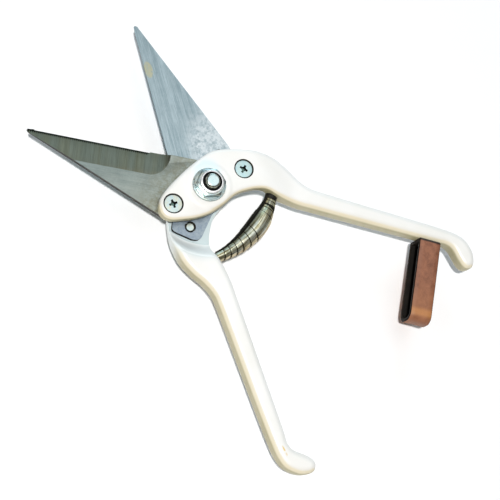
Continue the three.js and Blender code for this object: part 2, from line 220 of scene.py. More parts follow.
def tube_mesh(profile, steps):
    """Points and faces turned about Z from a closed loop of (radius, height) pairs."""
    points = []
    for step in range(steps):
        across, along = math.cos(2 * math.pi * step / steps), math.sin(2 * math.pi * step / steps)
        points += [(radius * across, radius * along, height) for radius, height in profile]
    return points, grid_faces(steps, len(profile), closed_rows=True, closed_columns=True)


def prism_mesh(outline, low, high):
    """An upright prism of a plan outline, a list of (x, y) pairs."""
    count = len(outline)
    points = [(x, y, low) for x, y in outline] + [(x, y, high) for x, y in outline]
    faces = [tuple(range(count)), tuple(range(2 * count - 1, count - 1, -1))]
    for index in range(count):
        beside = (index + 1) % count
        faces.append((index, beside, count + beside, count + index))
    return points, faces


def combined(*meshes):
    points, faces = [], []
    for more_points, more_faces in meshes:
        faces += [tuple(index + len(points) for index in face) for face in more_faces]
        points += list(more_points)
    return points, faces


def cut(piece, shape, turned_over, material, operation="DIFFERENCE"):
    """Cuts or joins a closed shape to the piece; the new faces take the material."""
    cutter = new_piece("cutter", shape, turned_over, material)
    boolean = piece.modifiers.new("cut", "BOOLEAN")
    boolean.object = cutter
    boolean.operation = operation
    boolean.solver = "EXACT"
    boolean.material_mode = "TRANSFER"
    bpy.context.view_layer.update()
    shaped = bpy.data.meshes.new_from_object(piece.evaluated_get(bpy.context.evaluated_depsgraph_get()))
    piece.modifiers.clear()
    old = piece.data
    piece.data = shaped
    bpy.data.meshes.remove(old)
    bpy.data.objects.remove(cutter)


def curve_through(points, steps):
    """A smooth curve through the points, with a number of steps to each stretch."""
    points = [np.array(point, float) for point in points]
    padded = [2 * points[0] - points[1]] + points + [2 * points[-1] - points[-2]]
    counts = steps if hasattr(steps, "__len__") else [steps] * (len(points) - 1)
    result = []
    for index, count in enumerate(counts):
        before, start, end, after = padded[index : index + 4]
        for step in range(count):
            t = step / count
            square = 2 * before - 5 * start + 4 * end - after
            cube = 3 * start - before - 3 * end + after
            result.append(0.5 * (2 * start + (end - before) * t + square * t * t + cube * t**3))
    result.append(points[-1])
    return np.array(result)


def smoothstep(value, start, end):
    t = np.clip((value - start) / (end - start), 0, 1)
    return t * t * (3 - 2 * t)


# ---------- material helpers ----------
class Nodes:
    """A material's node tree, with one Principled shader and short calls for the nodes used here."""

    def __init__(self, name):
        self.material = bpy.data.materials.new(name)
        self.material.use_nodes = True
        self.tree = self.material.node_tree
        self.shader = self.tree.nodes["Principled BSDF"]
        self.place = self.made("ShaderNodeTexCoord", "Object", {})
        self.facing = self.place.node.outputs["Normal"]

    def feed(self, socket, value):
        """Gives a socket another node's output or a fixed value."""
        if hasattr(value, "is_output"):
            self.tree.links.new(value, socket)
        else:
            socket.default_value = value

    def made(self, kind, output, sockets, **settings):
        """One output of a new node, whose settings and input sockets are filled in."""
        node = self.tree.nodes.new(kind)
        for key, value in settings.items():
            setattr(node, key, value)
        for key, value in sockets.items():
            self.feed(node.inputs[key], value)
        return node.outputs[output]

    def set(self, **values):
        for key, value in values.items():
            self.feed(self.shader.inputs[key.replace("_", " ")], value)

    def finish(self, colour, rough, grain, distance=0.0001, **values):
        """Sets the colour, the roughness and the fine relief, and gives back the material."""
        self.set(Base_Color=colour, **values)
        scale, detail, low, high = rough
        self.set(Roughness=self.ramp(self.noise(scale, detail), (0.3, low), (0.7, high)))
        scale, detail, strength = grain
        self.bump(self.noise(scale, detail), strength, distance)
        return self.material

    def colour(self):
        return self.shader.inputs["Base Color"].links[0].from_socket

    def stretched(self, scale, turn, place=None):
        """Coordinates in axes turned about Z by radians, scaled along each of those axes."""
        sockets = {"Rotation": (0, 0, turn), "Scale": tuple(1 / factor for factor in scale)}
        sockets["Vector"] = place or self.place
        return self.made("ShaderNodeMapping", "Vector", sockets, vector_type="TEXTURE")

    def stored(self, name, kind="Fac"):
        """A value kept with each point of the mesh."""
        return self.made("ShaderNodeAttribute", kind, {}, attribute_name=name)

    def noise(self, scale, detail, roughness=0.55, place=None):
        sockets = {"Scale": scale, "Detail": detail, "Roughness": roughness, "Vector": place or self.place}
        return self.made("ShaderNodeTexNoise", "Fac", sockets)

    def cells(self, scale):
        return self.made("ShaderNodeTexVoronoi", "Distance", {"Scale": scale, "Vector": self.place})

    def ramp(self, value, *stops):
        """A colour or grey that runs through (position, value) stops."""
        output = self.made("ShaderNodeValToRGB", "Color", {"Fac": value})
        elements = output.node.color_ramp.elements
        while len(elements) < len(stops):
            elements.new(0.5)
        for element, (position, colour) in zip(elements, stops):
            element.position = position
            element.color = (*colour, 1) if hasattr(colour, "__len__") else (colour, colour, colour, 1)
        return output

    def mixed(self, share, first, second, blend="MIX"):
        colours = [value if hasattr(value, "is_output") else (*value, 1) for value in (first, second)]
        sockets = {0: share, 6: colours[0], 7: colours[1]}
        return self.made("ShaderNodeMix", 2, sockets, data_type="RGBA", blend_type=blend)

    def math(self, operation, first, second=0.0):
        return self.made("ShaderNodeMath", 0, {0: first, 1: second}, operation=operation)

    def times(self, first, second):
        return self.math("MULTIPLY", first, second)

    def plus(self, first, second):
        return self.math("ADD", first, second)

    def vector_math(self, operation, source, vector):
        return self.made("ShaderNodeVectorMath", "Value", {0: source, 1: vector}, operation=operation)

    def along(self, direction, offset=0.0):
        """Distance in millimetres from the pivot along a direction, less an offset."""
        shift = PIVOT.dot(Vector(direction)) / MM + offset
        run = self.vector_math("DOT_PRODUCT", self.place, tuple(Vector(direction) / MM))
        return self.math("SUBTRACT", run, shift)

    def from_axis(self, spot=(0, 0)):
        """Distance in millimetres from an upright line through a spot."""
        off_x = self.math("POWER", self.along((1, 0, 0), spot[0]), 2.0)
        off_y = self.math("POWER", self.along((0, 1, 0), spot[1]), 2.0)
        return self.math("SQRT", self.plus(off_x, off_y))

    def between(self, value, start, end):
        """A share that rises from 0 to 1 as the value goes from start to end."""
        sockets = {"From Min": start, "From Max": end, "Value": value}
        return self.made("ShaderNodeMapRange", "Result", sockets, interpolation_type="SMOOTHSTEP")

    def oval(self, place, turn, scale):
        """Distance from a place, in axes turned about Z and scaled along each."""
        middle = Matrix.Rotation(-turn, 3, "Z") @ Vector(place)
        middle = tuple(value * factor for value, factor in zip(middle, scale))
        return self.vector_math("DISTANCE", self.stretched(scale, turn), middle)

    def forward(self, start, end):
        return self.between(self.along((0, 1, 0)), start, end)

    def bump(self, height, strength, distance):
        sockets = {"Strength": strength, "Distance": distance, "Height": height}
        self.set(Normal=self.made("ShaderNodeBump", "Normal", sockets))


# ---------- materials ----------
SHADED_SIDE = (-0.92, -0.39, 0.0)  # the walls that face this way are painted cream and tan, as shade


def enamel(name, cool_place, cool_from, cool_to, cool_tone, stains=()):
    """Baked enamel: white faces, a painted bluish shade round one place, walls on one side painted cream and
    tan as shade, specks and stains.
    """
    m = Nodes(name)
    base = m.ramp(m.noise(38, 3), (0.3, (0.815, 0.805, 0.755)), (0.62, (0.865, 0.86, 0.835)))
    cool = m.between(m.vector_math("DISTANCE", m.place, cool_place), cool_from, cool_to)
    level = m.math("ABSOLUTE", m.made("ShaderNodeSeparateXYZ", "Z", {0: m.facing}))
    # Walls that face one side are painted cream, and tan where steep, as shade.
    shaded_side = m.between(m.vector_math("DOT_PRODUCT", m.facing, SHADED_SIDE), 0.0, 0.35)
    cream = m.ramp(m.noise(55, 3), (0.3, (0.80, 0.73, 0.53)), (0.7, (0.85, 0.79, 0.62)))
    tan = m.ramp(m.noise(70, 3), (0.3, (0.46, 0.42, 0.24)), (0.7, (0.54, 0.50, 0.32)))
    base = m.mixed(m.times(m.between(level, 0.97, 0.75), shaded_side), base, cream)
    base = m.mixed(m.times(m.between(level, 0.62, 0.25), shaded_side), base, tan)
    # A painted bluish shade round one place, deeper on flat faces than on slopes.
    bluish = m.mixed(m.between(level, 0.9, 0.99), (0.88, 0.96, 0.97), cool_tone)
    base = m.mixed(m.times(cool, 0.9), base, bluish)
    specks = m.ramp(m.noise(650, 2), (0.72, 0), (0.76, 1))
    rare = m.ramp(m.noise(60, 1), (0.6, 0), (0.66, 1))
    base = m.mixed(m.times(m.times(specks, rare), 0.55), base, (0.5, 0.42, 0.28))
    for place, turn, length, width, strength in stains:
        worn = m.plus(m.oval(place, turn, (1 / width, 1 / length, 1 / length)), m.times(m.noise(900, 3), 0.9))
        base = m.mixed(m.times(m.between(worn, 1.45, 0.85), strength), base, (0.74, 0.50, 0.12))
    m.set(Coat_Weight=0.12, Coat_Roughness=0.25)
    return m.finish(base, (90, 3, 0.34, 0.44), (45, 1, 0.03), 0.0003)


def surface(name, pattern, stops, rough, grain, **values):
    """A material of one mottled colour, with its own roughness and fine relief."""
    m = Nodes(name)
    return m.finish(m.ramp(m.noise(*pattern), *stops), rough, grain, **values)


def shade_black(name):
    """Near-black painted shade for holes, recesses and narrow gaps."""
    stops = (0.35, (0.015, 0.013, 0.01)), (0.7, (0.07, 0.05, 0.03))
    return surface(name, (700, 4), stops, (500, 2, 0.6, 0.9), (1500, 2, 0.2), Specular_IOR_Level=0.1)


def blade_steel(name, turn, dark, light, streak, mottle, roughest):
    """Ground steel: fine streaks along the blade and a fine mottle."""
    m = Nodes(name)
    fine = m.noise(1.0, 5, 0.7, m.stretched((3400, 110, 3400), turn))
    broad = m.noise(1.0, 3, 0.6, m.stretched((420, 16, 420), turn))
    grains = m.noise(2600, 4, 0.75)
    patches = m.noise(190, 5, 0.7)
    lines = m.plus(m.times(fine, streak), m.times(broad, 1 - streak - mottle))
    spots = m.plus(m.times(grains, 0.5 * mottle), m.times(patches, 0.5 * mottle))
    m.set(Base_Color=m.ramp(m.plus(lines, spots), (0.4, dark), (0.6, light)), Metallic=1.0)
    worn = m.noise(1.0, 4, 0.6, m.stretched((1500, 90, 1500), turn))
    m.set(Roughness=m.ramp(worn, (0.3, 0.34), (0.7, roughest)))
    m.bump(m.plus(fine, m.times(grains, 0.6)), 0.1, 0.00005)
    return m


def flat_steel(name, turn):
    """The serrated blade's flat, darker brown in blotches towards the heel."""
    m = blade_steel(name, turn, (0.27, 0.315, 0.29), (0.43, 0.475, 0.435), 0.3, 0.5, 0.5)
    blotches = m.ramp(m.noise(420, 5, 0.75), (0.40, 0.25), (0.60, 1))
    heel_blotches = m.times(m.times(blotches, m.forward(30, 8)), 0.9)
    m.set(Base_Color=m.mixed(heel_blotches, m.colour(), (0.22, 0.21, 0.14)))
    return m.material


def toothed_steel(name, turn):
    """The serrated blade's ground face: ground across the edge, olive, and painted near-black between the
    teeth as their shade.
    """
    m = Nodes(name)
    across = m.noise(1.0, 5, 0.7, m.stretched((60, 2600, 60), turn))
    columns = m.noise(1.0, 3, 0.6, m.stretched((20, 420, 20), turn))
    lines = m.plus(m.times(across, 0.7), m.times(columns, 0.3))
    colour = m.ramp(lines, (0.36, (0.15, 0.158, 0.118)), (0.64, (0.25, 0.262, 0.21)))
    tint = m.noise(1.0, 2, 0.5, m.stretched((14, 210, 14), turn))
    tint = m.ramp(tint, (0.4, (1.0, 0.95, 0.76)), (0.6, (0.88, 0.97, 1.0)))
    colour = m.mixed(0.4, colour, tint, "MULTIPLY")
    from_edge = m.along(tuple(-EDGE_NORMAL) + (0,), -EDGE_OFFSET)
    colour = m.mixed(m.times(m.between(from_edge, 6.5, 1.0), 0.3), colour, (0.10, 0.11, 0.075))
    # Near-black painted shade in a notched band along the teeth.
    toothed = m.forward(TEETH_FROM - 0.3, TEETH_FROM + 0.2)
    first = EDGE_ALONG.dot(Vector(on_edge(TEETH_FROM)))
    run = m.times(m.along(tuple(EDGE_ALONG) + (0,), first), 2 * math.pi / TOOTH_PITCH)
    notched = m.plus(from_edge, m.times(m.math("COSINE", run), 0.45))
    dark = m.times(m.between(notched, TOOTHED_SET_BACK + 1.1, TOOTHED_SET_BACK + 0.9), toothed)
    colour = m.mixed(dark, colour, (0.006, 0.007, 0.005))
    m.set(Base_Color=colour, Metallic=1.0)
    m.set(Roughness=m.ramp(across, (0.3, 0.38), (0.7, 0.52)))
    m.bump(across, 0.12, 0.00005)
    return m.material


def stained_steel(name, turn, stain_at):
    """The plain blade's polished steel, with one tan mark near the cutting edge."""
    m = blade_steel(name, turn, (0.25, 0.335, 0.365), (0.46, 0.56, 0.595), 0.5, 0.25, 0.48)
    from_edge = m.along((EDGE_NORMAL.x, -EDGE_NORMAL.y, 0), -EDGE_OFFSET)
    near_head = m.times(m.forward(34, 18), m.between(from_edge, 7, 17))
    blotches = m.ramp(m.noise(420, 5, 0.75), (0.40, 0.1), (0.56, 1))
    steel = m.mixed(m.times(m.times(near_head, blotches), 0.85), m.colour(), (0.70, 0.76, 0.78))
    tail = m.ramp(m.noise(500, 5, 0.75), (0.35, (0.23, 0.29, 0.36)), (0.65, (0.36, 0.43, 0.47)))
    steel = m.mixed(m.forward(4.0, 1.0), steel, tail)
    patch = m.between(m.oval(stain_at, turn, (1.0, 0.5, 1.0)), 0.0024, 0.0018)
    patch = m.times(patch, m.ramp(m.noise(600, 4), (0.36, 0.3), (0.5, 1)))
    m.set(Base_Color=m.mixed(m.times(patch, 0.8), steel, (0.52, 0.50, 0.32)))
    return m.material


def blade_wall(name):
    """The blades' dark side walls, painted near-black at the tail as the shadow of the gap round it; the
    gullets' faces take it too, as painted shade.
    """
    m = Nodes(name)
    wall_tone = m.ramp(m.noise(600, 4), (0.35, (0.04, 0.038, 0.035)), (0.7, (0.10, 0.09, 0.08)))
    # Near-black at the tail: painted shadow of the gap round the tail.
    colour = m.mixed(m.times(m.forward(4.0, 1.0), 0.93), wall_tone, (0.005, 0.005, 0.005))
    return m.finish(colour, (300, 3, 0.5, 0.7), (1500, 2, 0.15), Metallic=1.0)


def zinc(name, teal):
    """Bright zinc plating with faint teal and straw tints."""
    m = Nodes(name)
    stops = (0.3, (0.42, 0.58, 0.60)), (0.47, (0.60, 0.68, 0.68)), (0.64, (0.70, 0.66, 0.50))
    colour = m.mixed(teal, m.ramp(m.noise(420, 4, 0.65), *stops), (0.46, 0.68, 0.70))
    return m.finish(colour, (700, 3, 0.24, 0.38), (900, 3, 0.02), Metallic=1.0)


def spring_strip(name):
    """Spring steel: brassy streaks round the coil, partly real and partly painted reflection bands, a painted
    brown reflection on the flank away from the pivot, and painted shade under each turn's edge and on the
    flank towards the pivot.
    """
    m = Nodes(name)
    wrap = m.stored("wrap", "Vector")
    # The streaks round the coil are partly painted reflection bands.
    fine = m.noise(1.0, 3, 0.5, m.stretched((0.10, 1.0, 1.0), 0, wrap))
    rings = m.noise(1.0, 3, 0.6, m.stretched((1.6, 0.15, 0.15), 0, wrap))
    broad = m.noise(1.0, 2, 0.5, m.stretched((0.12, 0.7, 0.7), 0, wrap))
    lines = m.plus(m.times(fine, 0.85), m.times(rings, 0.15))
    stops = (0.37, (0.24, 0.225, 0.14)), (0.48, (0.55, 0.54, 0.41)), (0.59, (0.92, 0.91, 0.78))
    tints = (0.40, (0.92, 0.84, 0.50)), (0.5, (0.95, 0.95, 0.84)), (0.6, (0.78, 0.90, 0.93))
    colour = m.mixed(0.6, m.ramp(lines, *stops), m.ramp(broad, *tints), "MULTIPLY")
    # Painted shade: near-black on the flank towards the pivot and under each turn's edge.
    side = m.stored("flank")
    flank = m.between(m.plus(side, m.times(fine, 0.1)), 0.60, 0.74)
    reach = m.plus(m.times(m.math("MAXIMUM", m.times(side, -1.0), 0.0), 0.45), 0.42)
    gap = m.between(m.math("DIVIDE", m.stored("clear"), reach), 1.25, 0.6)
    # A painted brown reflection on the flank away from the pivot.
    brown = m.between(m.plus(side, m.times(fine, 0.3)), -0.45, -0.8)
    colour = m.mixed(m.times(brown, 0.6), colour, (0.42, 0.29, 0.15))
    painted_shade = m.math("MAXIMUM", m.times(flank, 0.96), m.times(gap, 0.96))
    colour = m.mixed(painted_shade, colour, (0.010, 0.009, 0.007))
    m.set(Base_Color=colour, Metallic=1.0)
    m.set(Roughness=m.plus(m.ramp(broad, (0.3, 0.33), (0.7, 0.46)), m.times(painted_shade, 0.3)))
    m.bump(fine, 0.15, 0.0001)
    return m.material


def highlit_zinc(name):
    """Zinc painted brighter on the nut's collar, as a painted highlight."""
    stops = (0.3, (0.90, 0.93, 0.93)), (0.7, (0.98, 0.98, 0.97))
    return surface(name, (500, 3), stops, (700, 3, 0.30, 0.42), (900, 3, 0.02), Metallic=1.0)


def countersink_wall(name, face_height):
    """Worn metal in the countersinks: grey-brown near the face, going black further down as painted shade."""
    m = Nodes(name)
    worn = m.ramp(m.noise(700, 4), (0.35, (0.20, 0.17, 0.11)), (0.65, (0.40, 0.36, 0.27)))
    # Black further down the countersink: painted shade.
    depth = m.between(m.math("ABSOLUTE", m.along((0, 0, 1))), face_height - 0.9, face_height - 0.25)
    return m.finish(m.mixed(depth, (0.012, 0.011, 0.009), worn), (500, 2, 0.5, 0.8), (1500, 2, 0.2))


def recess_black(name, spot):
    """Near-black painted shade in a driver's recess, greenish grey at its middle."""
    m = Nodes(name)
    # Near-black painted shade inside the recess.
    black = m.ramp(m.noise(700, 4), (0.35, (0.004, 0.007, 0.007)), (0.7, (0.02, 0.025, 0.02)))
    core = m.between(m.from_axis(spot), 0.95, 0.6)
    colour = m.mixed(m.times(core, 0.8), black, (0.16, 0.26, 0.23))
    return m.finish(colour, (500, 2, 0.5, 0.8), (1500, 2, 0.2), Specular_IOR_Level=0.05)


def bolt_end(name):
    """The bolt's rounded end: a flat painted brighter than the plate as a highlight, and an edge painted with
    dark and gold flecks as reflections.
    """
    m = Nodes(name)
    bright = m.ramp(m.noise(600, 3), (0.35, (0.58, 0.75, 0.76)), (0.65, (0.68, 0.81, 0.81)))
    stops = (0.42, (0.03, 0.03, 0.025)), (0.5, (0.42, 0.36, 0.2)), (0.6, (0.5, 0.6, 0.6))
    flecks = m.ramp(m.noise(1500, 3, 0.7), *stops)
    # Dark and gold flecks on the edge: painted reflections.
    edge = m.between(m.from_axis(), 2.7, 3.0)
    colour = m.mixed(m.times(edge, 0.85), bright, flecks)
    return m.finish(colour, (700, 3, 0.24, 0.36), (900, 3, 0.02), Metallic=1.0)


def black_steel(name):
    """Near-black steel, painted as the shade in the spring's seats."""
    stops = (0.45, (0.012, 0.012, 0.012)), (0.75, (0.05, 0.045, 0.035))
    return surface(name, (500, 4), stops, (300, 3, 0.4, 0.6), (900, 2, 0.1), Metallic=0.6)


def black_nylon(name):
    stops = (0.3, (0.003, 0.003, 0.003)), (0.7, (0.008, 0.008, 0.009))
    return surface(name, (500, 3), stops, (700, 2, 0.5, 0.65), (1200, 2, 0.08), Specular_IOR_Level=0.05)


def leather(name, dark, light, crease, rub):
    """Vegetable-tanned leather: pebbled grain, fine creases and rubbed patches."""
    m = Nodes(name)
    pebbles = m.cells(1700)
    creases = m.noise(1.0, 5, 0.7, m.stretched((500, 900, 500), 0.6))
    mottle = m.noise(300, 5, 0.7)
    colour = m.ramp(mottle, (0.32, dark), (0.68, light))
    colour = m.mixed(m.times(m.ramp(creases, (0.52, 0), (0.7, 1)), rub), colour, crease)
    pits = m.times(m.ramp(pebbles, (0.0, 1), (0.25, 0)), 0.3)
    colour = m.mixed(pits, colour, tuple(0.6 * c for c in dark))
    m.set(Base_Color=colour, Roughness=m.ramp(mottle, (0.3, 0.48), (0.7, 0.68)))
    grain = m.plus(m.times(pebbles, 0.6), m.times(creases, 0.7))
    m.bump(grain, 0.35, 0.0002)
    return m


def strap_leather(name):
    """The strap's outside: brown, painted nearly black at the root as the shade of the gap there, and with a
    painted orange highlight at its far bend.
    """
    m = leather(name, (0.17, 0.062, 0.032), (0.32, 0.13, 0.068), (0.36, 0.15, 0.075), 0.35)
    out = m.along(tuple(STRAP_OUT), STRAP_ROOT.dot(STRAP_OUT))
    colour = m.mixed(m.times(m.between(out, 18, 36), 0.35), m.colour(), (0.36, 0.15, 0.06))
    # A painted orange highlight along the far bend.
    bend = m.times(m.between(out, 35.5, 38.2), m.between(out, 41.6, 39.4))
    colour = m.mixed(m.times(bend, 0.4), colour, (0.66, 0.29, 0.08))
    # Nearly black at the root: painted shade of the gap against the handle.
    m.set(Base_Color=m.mixed(m.times(m.between(out, 2.0, 1.3), 0.94), colour, (0.012, 0.008, 0.006)))
    return m.material


def copper(name):
    stops = (0.35, (0.45, 0.17, 0.07)), (0.7, (0.8, 0.42, 0.22))
    return surface(name, (500, 3), stops, (800, 3, 0.28, 0.45), (900, 2, 0.1), Metallic=1.0)


# ---------- handle ----------
# Each row is a station across the handle, from the round end of the head to the tip of the finger stop:
# a point on its inner edge, the matching point on its outer edge, and the steps to the next station.
STATIONS = [
    ((-26.9, 5.0), (-26.9, 5.8), 3),
    ((-26.4, 3.3), (-26.5, 7.9), 4),
    ((-24.9, 1.1), (-24.7, 10.5), 6),
    ((-21.7, -1.7), (-20.6, 12.7), 9),
    ((-16.2, -6.0), (-14.2, 13.5), 10),
    ((-9.3, -9.6), (-6.2, 13.4), 12),
    ((-1.0, -11.7), (3.0, 12.7), 14),
    ((6.4, -12.5), (14.8, 10.2), 14),
    ((12.2, -15.1), (23.4, 3.4), 16),
    ((16.9, -18.4), (31.1, -5.1), 16),
    ((20.4, -22.5), (35.8, -14.0), 14),
    ((22.1, -27.7), (37.0, -22.0), 14),
    ((24.0, -33.0), (36.8, -30.0), 14),
    ((26.9, -39.6), (37.6, -36.3), 8),
    ((30.0, -45.0), (39.9, -41.8), 12),
    ((39.36, -61.3), (48.6, -58.0), 14),
    ((50.33, -80.4), (59.2, -77.5), 14),
    ((60.56, -98.2), (68.2, -94.2), 8),
    ((63.9, -104.0), (72.4, -102.3), 7),
    ((66.7, -108.4), (75.3, -108.6), 7),
    ((67.3, -112.5), (76.5, -114.9), 8),
    ((65.7, -117.2), (74.6, -121.3), 8),
    ((64.5, -120.8), (71.4, -125.1), 7),
    ((64.4, -123.4), (68.6, -126.5), 5),
    ((65.1, -125.2), (66.8, -126.4), 1),
]
EDGE_OFFSETS = (0.0, 0.06, 0.25, 0.6, 1.1, 1.8, 2.6, 3.4)
INNER_COLUMNS = 30
SWING_RADIUS = 26.2
SHOULDER_WIDTH = 9.0
TAPER_FROM, TAPER_TO = 27, 46
BOSS_RADIUS = 11.2
BOSS_BLEND = 0.9
HEAD_ROUND = 2.1
FACE_ROUND = 0.4
GRIP_ROUND = 3.4


def handle_plan():
    """The plan points of the handle, station by station, and each one's distance from the outline."""
    steps = [row[2] for row in STATIONS[:-1]]
    inner = curve_through([row[0] for row in STATIONS], steps)
    outer = curve_through([row[1] for row in STATIONS], steps)
    shares = []
    for start, end in zip(inner, outer):
        width = np.linalg.norm(end - start)
        shrink = min(1.0, 0.45 * width / EDGE_OFFSETS[-1])
        edge = [offset * shrink / width for offset in EDGE_OFFSETS]
        middle = list(np.linspace(edge[-1], 1 - edge[-1], INNER_COLUMNS + 2)[1:-1])
        shares.append(edge + middle + [1 - share for share in reversed(edge)])
    shares = np.array(shares)
    plan = inner[:, None, :] * (1 - shares[:, :, None]) + outer[:, None, :] * shares[:, :, None]
    outline = np.concatenate([inner, outer[::-1]])
    return plan, distance_to_outline(plan, outline)


def distance_to_outline(plan, outline):
    starts = outline
    ends = np.roll(outline, -1, axis=0)
    along = ends - starts
    lengths = np.maximum((along**2).sum(1), 1e-12)
    flat = plan.reshape(-1, 2)
    nearest = np.full(len(flat), np.inf)
    for start, run, length in zip(starts, along, lengths):
        share = np.clip(((flat - start) @ run) / length, 0, 1)
        gap = np.hypot(*(flat - start - share[:, None] * run).T)
        nearest = np.minimum(nearest, gap)
    return nearest.reshape(plan.shape[:2])


def rounded(distance, radius):
    """How far a surface with a round edge lies below its flat, at a distance in from the edge."""
    reach = np.clip(distance, 0, radius)
    return radius - np.sqrt(np.maximum(radius**2 - (radius - reach) ** 2, 0))


def handle_mesh():
    plan, distance = handle_plan()
    radius = np.hypot(plan[:, :, 0], plan[:, :, 1])
    to_grip = smoothstep(radius, TAPER_FROM, TAPER_TO)
    shoulder = smoothstep(radius, SWING_RADIUS, SWING_RADIUS + SHOULDER_WIDTH)
    flat_top = HEAD_TOP + (GRIP_HALF_DEPTH - HEAD_TOP) * to_grip
    boss = BOSS_HEIGHT * (1 - smoothstep(radius, BOSS_RADIUS - BOSS_BLEND, BOSS_RADIUS + BOSS_BLEND))
    top = flat_top + boss - rounded(distance, HEAD_ROUND + (GRIP_ROUND - HEAD_ROUND) * to_grip)
    flat_base = HEAD_FACE + (-GRIP_HALF_DEPTH - HEAD_FACE) * shoulder
    base = flat_base + rounded(distance, FACE_ROUND + (GRIP_ROUND - FACE_ROUND) * shoulder)
    upper = np.dstack([plan, top]).reshape(-1, 3)
    lower = np.dstack([plan, base]).reshape(-1, 3)
    return between_sheets(upper, lower, *distance.shape)


def countersink(spot):
    rim = SCREW_RIM_RADIUS + SINK_GAP
    hole = SCREW_RADIUS + HOLE_GAP
    rim_low = SCREW_TOP - SCREW_RIM_HEIGHT
    profile = [(0, 0), (hole, 0), (hole, rim_low - (rim - hole)), (rim, rim_low), (rim, HEAD_TOP + 2)]
    return lathe_mesh(profile + [(0, HEAD_TOP + 2)], 64, spot)


def handle(side, material, painted_shade, sunk):
    over = side == "rear"
    piece = new_piece(f"{side}_handle_enamelled", handle_mesh(), over, material)
    bore = BOLT_RADIUS + HOLE_GAP
    cut(piece, lathe_mesh([(0, 0), (bore, 0), (bore, BOSS_TOP + 2), (0, BOSS_TOP + 2)]), over, painted_shade)
    cut(piece, combined(countersink(NOSE_SCREW), countersink(TAIL_SCREW)), over, sunk)
    finished(piece, f"{side}_handle", f"{side}_half", 38)


# ---------- blades ----------
EDGE_NORMAL = Vector((0.828, 0.561)).normalized()
EDGE_ALONG = Vector((-EDGE_NORMAL.y, EDGE_NORMAL.x))
EDGE_OFFSET = 13.5
EDGE_TURN = math.atan2(EDGE_ALONG.x, EDGE_ALONG.y)
SPINE = ((0.983, 0.184), -24.5)
SPINE_FROM = 6
TIP_Y = high_of("serrated_blade").y
EDGE_LAND = 0.3
GRIND_WIDTH = 12.0
GRIND_SLOPE = (BLADE_BACK - BLADE_FACE - EDGE_LAND) / GRIND_WIDTH
GRIND_START = 19.0
RUN_OUT = 10.0
TOOTH_PITCH = 0.95
GULLET_LENGTH = 1.25
GULLET_REACH = 0.1
GULLET_FLOOR = 0.1
GULLET_SHARE = 0.485  # of a tooth's pitch, on each side of the gullet's middle
TOOTHED_SET_BACK = 0.45
TEETH_FROM = 31.6
TEETH_TO = 77.8


def on_edge(y, back=0.0):
    return ((EDGE_OFFSET - back - EDGE_NORMAL.y * y) / EDGE_NORMAL.x, y)


def on_spine(y):
    (normal_x, normal_y), offset = SPINE
    return ((offset - normal_y * y) / normal_x, y)


def gullets():
    """One V-shaped notch for each tooth, running out on the ground face behind the edge."""
    step = TOOTH_PITCH * EDGE_ALONG.y
    inner_high = BLADE_FACE + EDGE_LAND + GRIND_SLOPE * (GULLET_LENGTH + TOOTHED_SET_BACK) + 0.05
    meshes = []
    for tooth in range(int((TEETH_TO - TEETH_FROM) / step)):
        edge = Vector(on_edge(TEETH_FROM + (tooth + 0.5) * step, TOOTHED_SET_BACK))
        inner = edge - EDGE_NORMAL * GULLET_LENGTH
        outer = edge + EDGE_NORMAL * GULLET_REACH
        half = EDGE_ALONG * TOOTH_PITCH * GULLET_SHARE
        points = [(*inner, inner_high), (*outer, BLADE_FACE + GULLET_FLOOR)]
        points += [(*(outer + half), inner_high + 0.5), (*(outer - half), inner_high + 0.5)]
        meshes.append((points, [(0, 1, 2), (0, 2, 3), (0, 3, 1), (1, 3, 2)]))
    return combined(*meshes)


def blade_outline(serrated):
    tip = [on_spine(TIP_Y - 1.2), (-39.3, TIP_Y - 0.1), (-38.5, TIP_Y)]
    outline = [on_spine(SPINE_FROM), *tip, on_edge(TEETH_TO)]
    if serrated:
        outline += [on_edge(TEETH_TO - 0.3, TOOTHED_SET_BACK), on_edge(TEETH_FROM, TOOTHED_SET_BACK)]
        outline += [on_edge(TEETH_FROM - 0.3)]
    heel = [on_edge(12), (12.6, 8.6), (19.5, 3.2), (25.0, -0.4), (26.3, -2.0), (25.9, -4.2)]
    tail = [(23.2, -11.6), (21.6, -13.6), (19.2, -14.3), (15.4, -13.3)]
    under = [(6.7, -10.7), (-4, -9.3), (-14, -5), (-22.3, 1), (-25.0, 3.6), on_spine(SPINE_FROM)]
    curves = [*curve_through(heel, 5), *curve_through(tail, 5), *curve_through(under, 4)[:-1]]
    return outline + [tuple(point) for point in curves]


def grinding():
    """The ground face beside the cutting edge, as the underside of a cutter, with its round run-out."""
    runs = [-0.05 + RUN_OUT * (1 - math.cos(math.pi / 2 * step / 14)) for step in range(15)] + [90]
    depths = [-3, 0, 3, 6, 9, GRIND_WIDTH, GRIND_WIDTH + 6]
    points = []
    for run in runs:
        inside = min(max(1 - run / RUN_OUT, 0), 1)
        reach = GRIND_WIDTH * math.sqrt(max(1 - inside**2, 0))
        for depth in depths:
            spot = EDGE_NORMAL * (EDGE_OFFSET - depth) + EDGE_ALONG * (GRIND_START + run)
            points.append((spot.x, spot.y, BLADE_BACK + GRIND_SLOPE * (depth - reach)))
    above = [(*point[:2], BLADE_BACK + 8) for point in points]
    return between_sheets(points, above, len(runs), len(depths))


